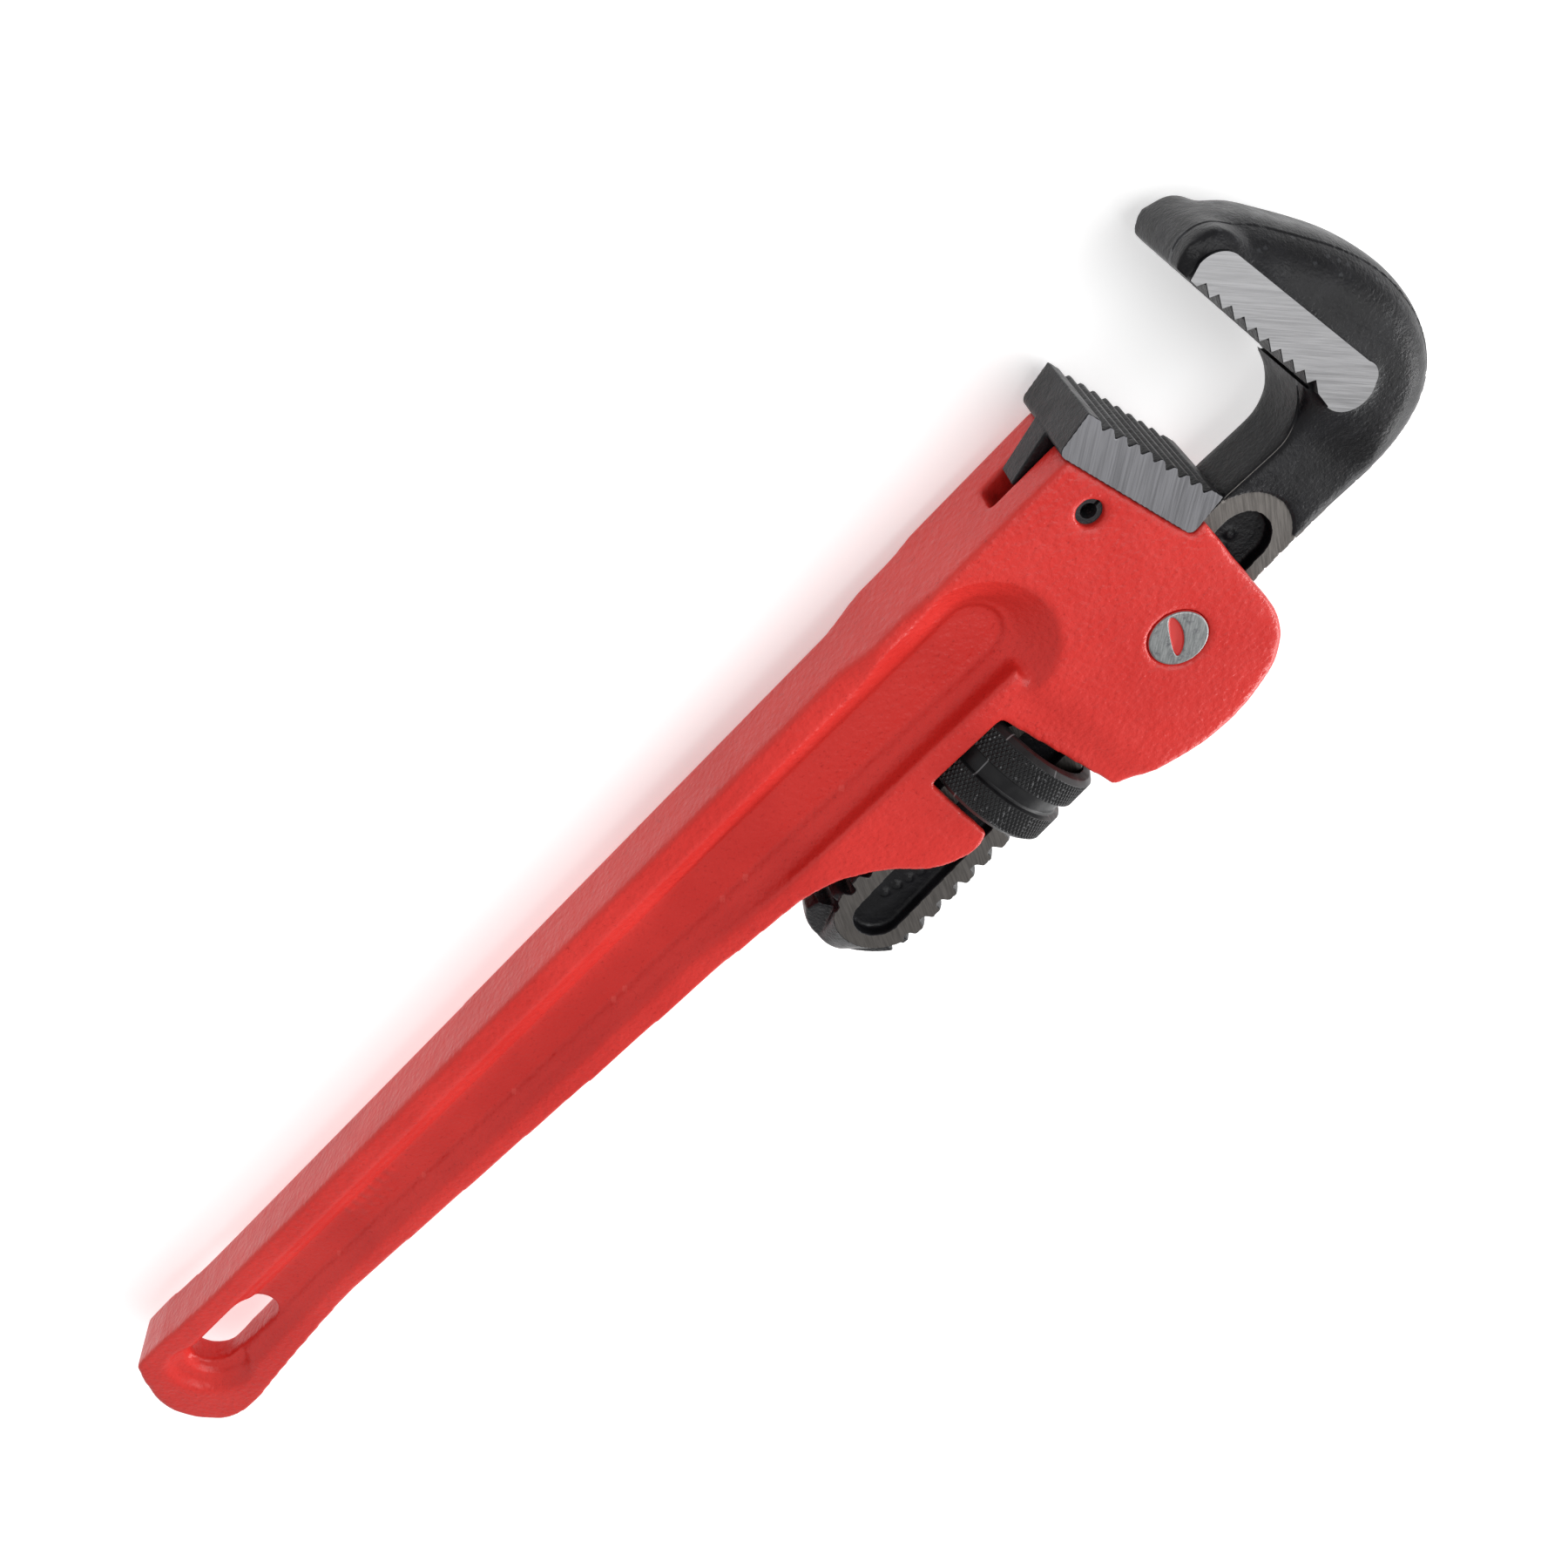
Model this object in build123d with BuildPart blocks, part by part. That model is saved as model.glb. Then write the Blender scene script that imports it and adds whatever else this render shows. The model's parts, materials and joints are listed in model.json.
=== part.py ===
from build123d import *
from math import asin, cos, degrees, radians, sin
import os

# Straight pipe wrench of the 350 mm (14 inch) size, lying on its side.
# +X runs along the handle towards the hook jaw, +Y towards the back of the handle, +Z is up.
# The origin is the middle of the bounding box in X and Y, at the lowest point in Z.

# ---- driving dimensions, mm and degrees -------------------------------------------------
overall_length = 351.0        # tail of the handle to the crown of the hook jaw
tail_reach = 1.6              # how far the tail reaches past the zero of the lengths below
back_offset = 25.2            # Y of the flat back of the handle
nut_radius = 14.5
mid_height = nut_radius       # the nut is the thickest piece, so it sets the middle plane

handle_half = 6.5             # half thickness of the handle's rails
tail_half = 6.1
cheek_half = 9.2              # half thickness of the two cheeks beside the jaw's shank
neck_half = 6.9               # half thickness of the hook jaw's neck
housing_half = 10.3
web_half = 2.9
panel_half = 4.4              # half thickness at the floor of the shallow outer recess
wall_draft = 48.0             # slope of the recess walls

jaw_angle = 5.0               # shank against the handle's back
heel_angle = 10.0             # heel jaw's seat against a square cut across the handle
nut_centre = (251.8, -40.8)   # from the tail, from the back; also the point the jaw rocks about

shank_half = 6.2              # half thickness of the milled shank
neck_half_width = 8.6
thread_pitch = 5.0
tip_radius = 11.35            # crowned tooth tips of the shank
root_half_width = 7.8
shank_foot = -51.9            # rounded lower end, along the shank from the nut's centre
foot_radius = 13.5
bevel_centre = -36.8          # round end of the shank's flat faces
bevel_radius = 9.4
first_valley = -43.75
toothed_end = 22.0
groove_half_width = 4.8       # long blind groove in each side of the shank
groove_floor = 3.6
groove_start = -38.2
groove_end = 57.0
pip_height = 0.5
valley_count = 14
lead_slope = 0.0723           # climb of the thread across the shank, per mm of its thickness

tooth_line = 80.4             # hook jaw's tooth tips, along the shank
hook_tip = 42.9
pad_tip = 40.9                # end of the ground pads beside the teeth
hook_body_half = 9.9
hook_rounding = 7.2
jaw_half = 10.9               # half thickness over the ground faces of both jaws
hook_tooth_pitch = 2.75
heel_tooth_pitch = 2.6
tooth_depth = 1.15

heel_height = 7.5
heel_length = 27.8
stem_half = 3.0
stem_depth = 9.0
heel_pin_place = (295.8, -9.7)
heel_pin_radius = 2.25

stop_pin_place = (290.5, -39.2)
stop_pin_radius = 5.2
stop_nose_place = (290.5, -38.0)   # off the pin's centre, in line with the shank's side groove
stop_nose_radius = 2.9

nut_place = 1.0               # middle of the nut, along the shank from nut_centre
nut_half_length = 7.7
nut_clearance_radius = nut_radius + 0.5
nut_groove_half = 1.7
nut_groove_radius = 13.1
nut_crest_radius = 10.35      # inner crest of the nut's thread
nut_bore_radius = 11.8

spring_place = 27.0           # middle of the springs, along the shank from the nut's centre
leaf_thickness = 0.8
leaf_gap = 0.4                # between tooth tips and the flat spring
coil_radius = 2.75
coil_wire = 0.9

os.makedirs("parts", exist_ok=True)

# ---- planes ----------------------------------------------------------------------------
# On `side` a point is (length from near the tail, distance from the handle's back).
side = Plane(origin=(tail_reach - overall_length / 2, back_offset, mid_height))


def turned(place, angle):
    """Middle plane with its origin at a place on `side`, turned about +Z."""
    origin = side.from_local_coords(Vector(place[0], place[1], 0))
    x_dir = (cos(radians(angle)), sin(radians(angle)), 0)
    return Plane(origin=origin, x_dir=x_dir, z_dir=(0, 0, 1))


shank = turned(nut_centre, jaw_angle)          # local x runs up the shank
heel_seat_back = (299.0, 2.2)
heel = turned(heel_seat_back, heel_angle)      # local x is the heel jaw's height, -y its length
shank_axis = Axis(shank.origin, shank.x_dir)
across_shank = Plane(origin=shank.origin, x_dir=shank.x_dir, z_dir=-shank.y_dir)
side_profile = Plane(origin=side.origin, x_dir=(1, 0, 0), z_dir=(0, -1, 0))

channel_back = tip_radius + 2.3
channel_front = tip_radius + leaf_gap + leaf_thickness + 2.6
channel_half = neck_half + 0.3
mouth_back = 11.5             # the mouth where the neck leaves the housing
mouth_front = 13.9

# ---- handle with the housing cast on it -------------------------------------------------
with BuildPart() as casting:
    with BuildSketch(side):
        with BuildLine():
            Line((46, 0), (299.35, 0))
            Line((299.35, 0), (303.9, -25.8))
            Line((303.9, -25.8), (306.6, -25.5))
            Line((306.6, -25.5), (304.9, -46.0))
            ThreePointArc((304.9, -46.0), (302.4, -53.4), (295.2, -58.7))
            ThreePointArc((295.2, -58.7), (284.3, -61.0), (272.8, -59.3))
            ThreePointArc((272.8, -59.3), (267.5, -57.6), (263.4, -55.0))
            Line((263.4, -55.0), (260.4, -27.8))
            Line((260.4, -27.8), (243.3, -28.1))
            Line((243.3, -28.1), (241.6, -44.3))
            ThreePointArc((241.6, -44.3), (238.6, -45.4), (235.0, -44.9))
            ThreePointArc((235.0, -44.9), (230.8, -42.9), (227.0, -38.6))
            ThreePointArc((227.0, -38.6), (219.0, -31.2), (206.0, -28.1))
            Line((206.0, -28.1), (62.0, -24.7))
            ThreePointArc((62.0, -24.7), (42.0, -26.0), (22.0, -28.0))
            Spline((22.0, -28.0), (10.4, -29.1), (1.8, -26.6), (-1.52, -19.5), (0.8, -10.2), (10.3, -0.4),
                   (22.0, 1.0), tangents=[(-1, -0.1), (1, 0)])
            ThreePointArc((22.0, 1.0), (34.0, 0.25), (46, 0))
        make_face()
    extrude(amount=housing_half, both=True)
    # Thickness along the handle: thin at the tail, rising over a rounded shoulder to the housing.
    with BuildSketch(side_profile):
        with BuildLine():
            Line((-5, tail_half), (248, handle_half + 0.3))
            Spline((248, handle_half + 0.3), (256, 8.9), (266.0, cheek_half), (272, housing_half),
                   tangents=[(1, 0.05), (1, 0.02)])
            Line((272, housing_half), (320, housing_half))
            Line((320, housing_half), (320, -housing_half))
            Line((320, -housing_half), (272, -housing_half))
            Spline((272, -housing_half), (266.0, -cheek_half), (256, -8.9), (248, -handle_half - 0.3),
                   tangents=[(-1, 0.02), (-1, 0.05)])
            Line((248, -handle_half - 0.3), (-5, -tail_half))
            Line((-5, -tail_half), (-5, tail_half))
        make_face()
    extrude(amount=100, both=True, mode=Mode.INTERSECT)

# Two thicker cheeks stand beside the shank, from the window's lug back along the front rail.
with BuildPart() as cheeks:
    with BuildSketch(side):
        with BuildLine():
            Line((269.0, -22.4), (176, -22.9))
            Line((176, -22.9), (176, -27.4))
            Line((176, -27.4), (206.0, -28.1))
            ThreePointArc((227.0, -38.6), (219.0, -31.2), (206.0, -28.1))
            ThreePointArc((235.0, -44.9), (230.8, -42.9), (227.0, -38.6))
            ThreePointArc((241.6, -44.3), (238.6, -45.4), (235.0, -44.9))
            Line((241.6, -44.3), (243.3, -28.1))
            Line((243.3, -28.1), (260.4, -27.8))
            Line((260.4, -27.8), (268.0, -28.8))
            Line((268.0, -28.8), (269.0, -22.4))
        make_face()
    extrude(amount=cheek_half, both=True)
    with BuildSketch(side_profile):
        with BuildLine():
            Spline((176, handle_half - 0.2), (200, 7.6), (224, cheek_half),
                   tangents=[(1, 0.02), (1, 0.02)])
            Line((224, cheek_half), (270, cheek_half))
            Line((270, cheek_half), (270, -cheek_half))
            Line((270, -cheek_half), (224, -cheek_half))
            Spline((224, -cheek_half), (200, -7.6), (176, -handle_half + 0.2),
                   tangents=[(-1, 0.02), (-1, 0.02)])
            Line((176, -handle_half + 0.2), (176, handle_half - 0.2))
        make_face()
    extrude(amount=100, both=True, mode=Mode.INTERSECT)


def recess_outline(grow):
    """Outline of the long recess in the handle's side, grown by `grow` all round."""
    tail_end = 12.0 - grow
    back = -7.8 + grow
    with BuildLine() as line:
        Line((24, back), (267.8, -8.2 + grow))
        ThreePointArc((267.8, -8.2 + grow), (274.0 + grow, -14.4), (267.8, -20.6 - grow))
        Line((267.8, -20.6 - grow), (66, -17.2 - grow))
        Line((66, -17.2 - grow), (24, -18.6 - grow))
        ThreePointArc((24, -18.6 - grow), (tail_end, -13.2), (24, back))
    return line


with BuildPart() as recess:
    with BuildSketch(side.offset(panel_half)):
        add(recess_outline(0.6))
        make_face()
    extrude(amount=12, taper=-wall_draft)
    with BuildSketch(side.offset(web_half)):
        with BuildLine():
            Line((26, -9.2), (267.6, -9.2))
            ThreePointArc((267.6, -9.2), (272.8, -14.3), (267.6, -19.4))
            Line((267.6, -19.4), (60, -16.2))
            Line((60, -16.2), (26, -17.4))
            ThreePointArc((26, -17.4), (15.0, -13.3), (26, -9.2))
        make_face()
    extrude(amount=6, taper=-30)
    mirror(about=side)

with BuildPart() as handle_cuts:
    with BuildSketch(side):
        with Locations((31.0, -11.9)):
            SlotOverall(29.0, 10.2)
    extrude(amount=30, both=True)
    with BuildSketch(shank):
        with Locations((-10, 0)):
            Rectangle(119, 2 * channel_back)
        with Locations((60, (mouth_back - mouth_front) / 2)):
            Rectangle(30, mouth_back + mouth_front)
        with Locations((spring_place, -channel_front / 2)):
            Rectangle(34, channel_front)
    extrude(amount=channel_half, both=True)
    with BuildSketch(side):
        with Locations((302.7, -7.5)):
            Rectangle(35, 25.0)
    extrude(amount=stem_half + 0.25, both=True)
    with BuildSketch(side):
        with Locations(heel_pin_place):
            Circle(heel_pin_radius + 0.07)
        with Locations(stop_pin_place):
            Circle(stop_pin_radius + 0.05)
    extrude(amount=30, both=True)
    with BuildSketch(across_shank.offset(channel_front - 1)):
        with Locations((spring_place, 0)):
            Circle(coil_radius + coil_wire / 2 + 0.5)
    extrude(amount=6.3)
    # Room for the nut, which reaches under the window's back edge.
    with BuildSketch(across_shank):
        with Locations((nut_place, nut_clearance_radius / 2)):
            Rectangle(2 * nut_half_length + 1.2, nut_clearance_radius)
    revolve(axis=shank_axis)

with BuildPart() as handle_housing:
    add(casting.part)
    add(recess.part, mode=Mode.SUBTRACT)
    add(cheeks.part)
    # Small cast pips on the floor of the recess.
    with BuildSketch(side):
        with Locations([(83 + 3.0 * n, -10.9) for n in range(6)]):
            Circle(0.9)
        with Locations([(84.5 + 3.0 * n, -13.9) for n in range(4)]):
            Circle(0.9)
    extrude(amount=web_half + pip_height, both=True)
    add(handle_cuts.part, mode=Mode.SUBTRACT)
handle_housing.part.label = "handle_housing"
export_step(handle_housing.part, "parts/handle_housing.step")


def heel_x(edge):
    """Height of an edge above the heel jaw's seat."""
    return round(heel.to_local_coords(edge.center()).X, 3)


# ---- heel jaw: toothed block with a stem that drops into the handle's slot ---------------
with BuildPart() as heel_jaw:
    with BuildSketch(heel):
        with Locations((heel_height / 2, -heel_length / 2)):
            Rectangle(heel_height, heel_length)
        with Locations([(heel_height, -1.9 - heel_tooth_pitch * n) for n in range(9)]):
            Polygon((0.4, -0.1), (-tooth_depth, -0.65 * heel_tooth_pitch), (0.1, -heel_tooth_pitch),
                    (0.4, -heel_tooth_pitch), align=None, mode=Mode.SUBTRACT)
    extrude(amount=jaw_half, both=True)
    seat_edges = heel_jaw.edges().filter_by(Axis.Z).group_by(heel_x)[0]
    fillet(seat_edges, radius=1.3)
    with BuildSketch(heel):
        with BuildLine():
            Polyline((0.5, 0), (-stem_depth, -0.6), (-stem_depth, -13.5), (-5.5, -18.6), (0.5, -18.6),
                     (0.5, 0))
        make_face()
    extrude(amount=stem_half, both=True)
    with BuildSketch(side):
        with Locations(heel_pin_place):
            Circle(heel_pin_radius + 0.07)
    extrude(amount=stem_half + 1, both=True, mode=Mode.SUBTRACT)
heel_jaw.part.label = "heel_jaw"
export_step(heel_jaw.part, "parts/heel_jaw.step")

with BuildPart() as heel_jaw_pin:
    with BuildSketch(side):
        with Locations(heel_pin_place):
            Circle(heel_pin_radius)
            Circle(heel_pin_radius - 0.9, mode=Mode.SUBTRACT)
            with Locations((heel_pin_radius, 0)):
                Rectangle(heel_pin_radius * 2, 0.6, mode=Mode.SUBTRACT)
    extrude(amount=housing_half - 1.3, both=True)
heel_jaw_pin.part.label = "heel_jaw_pin"
export_step(heel_jaw_pin.part, "parts/heel_jaw_pin.step")


# ---- stop pins: one pressed in each wall, its nose in the shank's side groove ------------
def make_stop_pin(name, direction):
    with BuildPart() as pin:
        with BuildSketch(side.offset(direction * (channel_half + 0.1))):
            with Locations(stop_pin_place):
                Circle(stop_pin_radius)
        extrude(amount=direction * (housing_half - channel_half - 0.1))
        with BuildSketch(side.offset(direction * (groove_floor + 0.6))):
            with Locations(stop_nose_place):
                Circle(stop_nose_radius)
        extrude(amount=direction * (channel_half - groove_floor))
    pin.part.label = name
    export_step(pin.part, "parts/" + name + ".step")


make_stop_pin("stop_pin_upper", 1)
make_stop_pin("stop_pin_lower", -1)


# ---- hook jaw ---------------------------------------------------------------------------
# Milled shank of the hook jaw: a plate cut from a crowned round bar with a domed foot.
foot_centre = shank_foot + foot_radius
foot_spread = asin(tip_radius / foot_radius)
foot_edge = (foot_centre - foot_radius * cos(foot_spread), tip_radius)
with BuildPart() as shank_bar:
    with BuildSketch(across_shank):
        with BuildLine():
            Polyline((shank_foot, 0), (groove_end, 0), (groove_end, neck_half_width + 0.8),
                     (toothed_end + 3, neck_half_width + 0.8), (toothed_end, tip_radius), foot_edge)
            ThreePointArc(foot_edge, (foot_centre - foot_radius * cos(foot_spread / 2),
                                      foot_radius * sin(foot_spread / 2)), (shank_foot, 0))
        make_face()
    revolve(axis=shank_axis)
    with BuildSketch(shank):
        with Locations((20, 0)):
            Rectangle(160, 60)
    extrude(amount=shank_half, both=True, mode=Mode.INTERSECT)
    # The foot is bevelled to a blunt point round the end of each ground face.
    for face_side in (1, -1):
        with BuildSketch(shank.offset(face_side * shank_half)):
            with Locations((-55, 0)):
                Rectangle(37, 40)
            with Locations((bevel_centre, 0)):
                Circle(bevel_radius, mode=Mode.SUBTRACT)
            with Locations((bevel_centre + 15, 0)):
                Rectangle(30, 40, mode=Mode.SUBTRACT)
        extrude(amount=-face_side * shank_half, taper=52, mode=Mode.SUBTRACT)

with BuildPart() as hook_jaw:
    # Neck and head, seen from the side.
    with BuildSketch(shank):
        with BuildLine():
            Line((tooth_line, hook_tip), (tooth_line, 15.4))
            ThreePointArc((tooth_line, 15.4), (77.4, 10.2), (71.5, 7.4))
            Line((71.5, 7.4), (60.0, neck_half_width))
            Line((60.0, neck_half_width), (40.0, neck_half_width))
            Line((40.0, neck_half_width), (40.0, -neck_half_width))
            Line((40.0, -neck_half_width), (66.0, -neck_half_width))
            Spline((66.0, -neck_half_width), (80.5, -9.1), (90.2, -6.2), (96.7, 1.6), (98.95, 11.0),
                   (97.6, 23.0), (93.0, 35.0), (88.2, 41.9), tangents=[(1, -0.02), (-1, 1)])
            ThreePointArc((88.2, 41.9), (84.6, 44.2), (tooth_line, hook_tip))
        make_face()
    extrude(amount=hook_body_half, both=True)
    rims = hook_jaw.edges().filter_by(
        lambda edge: abs(abs(edge.center().Z - mid_height) - hook_body_half) < 0.01)
    outer = rims.filter_by(lambda edge: edge.length > 60)
    fillet(outer, radius=hook_rounding)
    # The neck thins towards the shank.
    with BuildSketch(across_shank):
        with BuildLine():
            Line((0, neck_half), (74, neck_half))
            Spline((74, neck_half), (79, 8.6), (84, hook_body_half), tangents=[(1, 0), (1, 0)])
            Line((84, hook_body_half), (120, hook_body_half))
            Line((120, hook_body_half), (120, -hook_body_half))
            Line((120, -hook_body_half), (84, -hook_body_half))
            Spline((84, -hook_body_half), (79, -8.6), (74, -neck_half), tangents=[(-1, 0), (-1, 0)])
            Line((74, -neck_half), (0, -neck_half))
            Line((0, -neck_half), (0, neck_half))
        make_face()
    extrude(amount=60, both=True, mode=Mode.INTERSECT)
    # Ground pads along the teeth.
    with BuildSketch(shank):
        with BuildLine():
            Line((tooth_line, pad_tip), (tooth_line, 12.0))
            Line((tooth_line, 12.0), (79.8, 9.2))
            ThreePointArc((79.8, 9.2), (82.6, 5.2), (86.7, 5.9))
            ThreePointArc((86.7, 5.9), (88.2, 7.4), (87.9, 10.0))
            Line((87.9, 10.0), (86.9, 38.0))
            ThreePointArc((86.9, 38.0), (85.4, 40.6), (82.2, 41.5))
            Line((82.2, 41.5), (tooth_line, pad_tip))
        make_face()
    extrude(amount=jaw_half, both=True)
    with BuildSketch(shank.offset(shank_half)) as milling:
        with Locations((groove_end - 50, 0)):
            SlotOverall(100 + 2 * neck_half_width + 0.3, 2 * neck_half_width + 0.3)
        with Locations((groove_end - 40, 0)):
            Rectangle(80, 60)
    extrude(amount=20, mode=Mode.SUBTRACT)
    add(milling.sketch.moved(Location((0, 0, -2 * shank_half))))
    extrude(amount=-20, mode=Mode.SUBTRACT)
    add(shank_bar.part)
    # Long blind groove in each side, with small cast pips on its floor.
    with BuildSketch(shank.offset(groove_floor)) as groove:
        with Locations(((groove_start + groove_end) / 2, 0)):
            SlotCenterToCenter(groove_end - groove_start, 2 * groove_half_width)
        with Locations([(groove_end - 1 - 2.4 * n, 0.8 - 0.7 * n) for n in range(3)]):
            Circle(0.75, mode=Mode.SUBTRACT)
        with Locations([(groove_start + 4 + 2.6 * n, 0.9 - 0.8 * n) for n in range(4)]):
            Circle(0.8, mode=Mode.SUBTRACT)
    extrude(amount=pip_height, mode=Mode.SUBTRACT)
    add(groove.sketch.moved(Location((0, 0, -2 * groove_floor))))
    extrude(amount=-pip_height, mode=Mode.SUBTRACT)
    with BuildSketch(shank.offset(groove_floor + pip_height)) as upper_groove:
        with Locations(((groove_start + groove_end) / 2, 0)):
            SlotCenterToCenter(groove_end - groove_start, 2 * groove_half_width)
    extrude(amount=10, mode=Mode.SUBTRACT)
    add(upper_groove.sketch.moved(Location((0, 0, -2 * (groove_floor + pip_height)))))
    extrude(amount=-10, mode=Mode.SUBTRACT)
    # Teeth of the jaw.
    with BuildSketch(shank):
        with Locations([(tooth_line, 39.6 - hook_tooth_pitch * n) for n in range(10)]):
            Polygon((-0.5, 0), (tooth_depth, -0.3 * hook_tooth_pitch), (-0.1, -hook_tooth_pitch),
                    (-0.5, -hook_tooth_pitch), align=None)
    extrude(amount=jaw_half + 1, both=True, mode=Mode.SUBTRACT)
    # Valleys between the lobes that the nut's thread turns in, half a pitch apart on the two edges.
    for edge_side in (1, -1):
        shift = thread_pitch / 2 if edge_side > 0 else 0
        lean = Axis((0, 0, 0), shank.y_dir)
        lead = edge_side * degrees(lead_slope)
        for n in range(valley_count):
            place = shank.from_local_coords(Vector(first_valley + shift + thread_pitch * n, 0, 0))
            leaning = Plane(origin=place, x_dir=shank.x_dir.rotate(lean, lead),
                            z_dir=shank.z_dir.rotate(lean, lead))
            with BuildSketch(leaning):
                with BuildLine():
                    Polyline((-2.0, edge_side * 12.5), (-1.5, edge_side * 10.2), (-1.05, edge_side * 8.7),
                             (-0.7, edge_side * root_half_width), (0.7, edge_side * root_half_width),
                             (1.05, edge_side * 8.7), (1.5, edge_side * 10.2), (2.0, edge_side * 12.5),
                             (-2.0, edge_side * 12.5))
                make_face()
            extrude(amount=12, both=True, mode=Mode.SUBTRACT)
hook_jaw.part.label = "hook_jaw"
export_step(hook_jaw.part, "parts/hook_jaw.step")

# ---- adjusting nut ----------------------------------------------------------------------
# The groove between two turns of its inner thread, wound about +Z: one turn moves the jaw a pitch.
groove_turns = 6
with BuildPart() as thread_groove:
    with BuildLine() as thread_path:
        Helix(pitch=thread_pitch, height=thread_pitch * groove_turns, radius=nut_bore_radius)
    with BuildSketch(Plane(origin=thread_path.line @ 0, x_dir=(1, 0, 0), z_dir=thread_path.line % 0)):
        Polygon((0, -1.7), (0, 1.7), (-3.0, 2.2), (-3.0, -2.2), align=None)
    sweep(path=thread_path.line, is_frenet=True)
thread_start = first_valley + 6.25 * thread_pitch    # a quarter turn past a valley
thread_plane = Plane(origin=shank.from_local_coords(Vector(thread_start, 0, 0)),
                     x_dir=shank.z_dir, z_dir=shank.x_dir)

nut_profile = Plane(origin=shank.from_local_coords(Vector(nut_place, 0, 0)),
                    x_dir=shank.x_dir, z_dir=-shank.y_dir)
with BuildPart() as adjusting_nut:
    with BuildSketch(nut_profile):
        with BuildLine():
            Polyline((-nut_half_length, 8), (-nut_half_length, nut_radius - 1.0),
                     (-nut_half_length + 0.9, nut_radius), (-nut_groove_half - 0.2, nut_radius),
                     (-nut_groove_half, nut_groove_radius + 0.3), (-nut_groove_half + 0.4, nut_groove_radius),
                     (nut_groove_half - 0.4, nut_groove_radius), (nut_groove_half, nut_groove_radius + 0.3),
                     (nut_groove_half + 0.2, nut_radius), (nut_half_length - 0.9, nut_radius),
                     (nut_half_length, nut_radius - 1.0), (nut_half_length, 8), (-nut_half_length, 8))
        make_face()
    revolve(axis=shank_axis)
    with BuildSketch(thread_plane):
        Circle(nut_crest_radius)
    extrude(amount=40, mode=Mode.SUBTRACT)
    add(thread_groove.part.moved(thread_plane.location), mode=Mode.SUBTRACT)
adjusting_nut.part.label = "adjusting_nut"
export_step(adjusting_nut.part, "parts/adjusting_nut.step")

# ---- springs that hold the shank against the housing ------------------------------------
leaf_inner = -(tip_radius + leaf_gap)
with BuildPart() as flat_spring:
    with BuildSketch(shank):
        with BuildLine():
            ThreePointArc((spring_place - 15, leaf_inner - 0.3), (spring_place, leaf_inner),
                          (spring_place + 15, leaf_inner - 0.3))
            Line((spring_place + 15, leaf_inner - 0.3), (spring_place + 15, leaf_inner - 0.3 - leaf_thickness))
            ThreePointArc((spring_place + 15, leaf_inner - 0.3 - leaf_thickness),
                          (spring_place, leaf_inner - leaf_thickness),
                          (spring_place - 15, leaf_inner - 0.3 - leaf_thickness))
            Line((spring_place - 15, leaf_inner - 0.3 - leaf_thickness), (spring_place - 15, leaf_inner - 0.3))
        make_face()
    extrude(amount=4.5, both=True)
    with BuildSketch(across_shank.offset(-leaf_inner + 2)):
        with Locations((spring_place, 0)):
            Circle(1.05)
    extrude(amount=-6, mode=Mode.SUBTRACT)
flat_spring.part.label = "flat_spring"
export_step(flat_spring.part, "parts/flat_spring.step")

with BuildPart() as spring_rivet:
    with BuildSketch(across_shank.offset(-leaf_inner)):
        with Locations((spring_place, 0)):
            Circle(1.0)
    extrude(amount=leaf_thickness)
    with BuildSketch(across_shank.offset(-leaf_inner + leaf_thickness)):
        with Locations((spring_place, 0)):
            Circle(1.8)
    extrude(amount=1.6)
spring_rivet.part.label = "spring_rivet"
export_step(spring_rivet.part, "parts/spring_rivet.step")

coil_base = -leaf_inner + leaf_thickness + coil_wire / 2 + 0.05
coil_top = channel_front + 5.3 - coil_wire / 2 - 0.05
with BuildPart() as coil:
    with BuildLine() as coil_path:
        Helix(pitch=(coil_top - coil_base) / 4, height=coil_top - coil_base, radius=coil_radius)
    with BuildSketch(Plane(origin=coil_path.line @ 0, z_dir=coil_path.line % 0)):
        Circle(coil_wire / 2)
    sweep(path=coil_path.line, is_frenet=True)
coil_place = Plane(origin=shank.from_local_coords(Vector(spring_place, -coil_base, 0)),
                   x_dir=shank.x_dir, z_dir=-shank.y_dir)
with BuildPart() as coil_spring:
    add(coil.part.moved(coil_place.location))
coil_spring.part.label = "coil_spring"
export_step(coil_spring.part, "parts/coil_spring.step")
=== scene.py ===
import json
import math

import bpy
import numpy as np
from mathutils import Euler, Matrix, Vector


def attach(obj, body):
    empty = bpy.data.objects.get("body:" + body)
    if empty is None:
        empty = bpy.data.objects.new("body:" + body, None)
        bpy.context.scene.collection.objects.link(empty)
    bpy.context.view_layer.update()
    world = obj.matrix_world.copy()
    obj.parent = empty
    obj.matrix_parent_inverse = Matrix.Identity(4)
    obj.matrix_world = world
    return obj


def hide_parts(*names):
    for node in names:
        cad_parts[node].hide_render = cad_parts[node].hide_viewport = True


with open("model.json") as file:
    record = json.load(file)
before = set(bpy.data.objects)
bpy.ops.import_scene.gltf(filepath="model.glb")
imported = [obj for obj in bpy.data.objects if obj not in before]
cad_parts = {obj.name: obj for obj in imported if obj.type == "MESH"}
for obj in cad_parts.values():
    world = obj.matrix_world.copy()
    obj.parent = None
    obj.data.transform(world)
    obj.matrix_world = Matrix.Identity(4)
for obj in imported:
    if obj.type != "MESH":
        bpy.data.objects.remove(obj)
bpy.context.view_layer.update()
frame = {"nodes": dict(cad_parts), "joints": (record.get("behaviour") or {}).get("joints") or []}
nodes = frame["nodes"]
joints = {joint["name"]: joint for joint in frame["joints"]}

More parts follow.
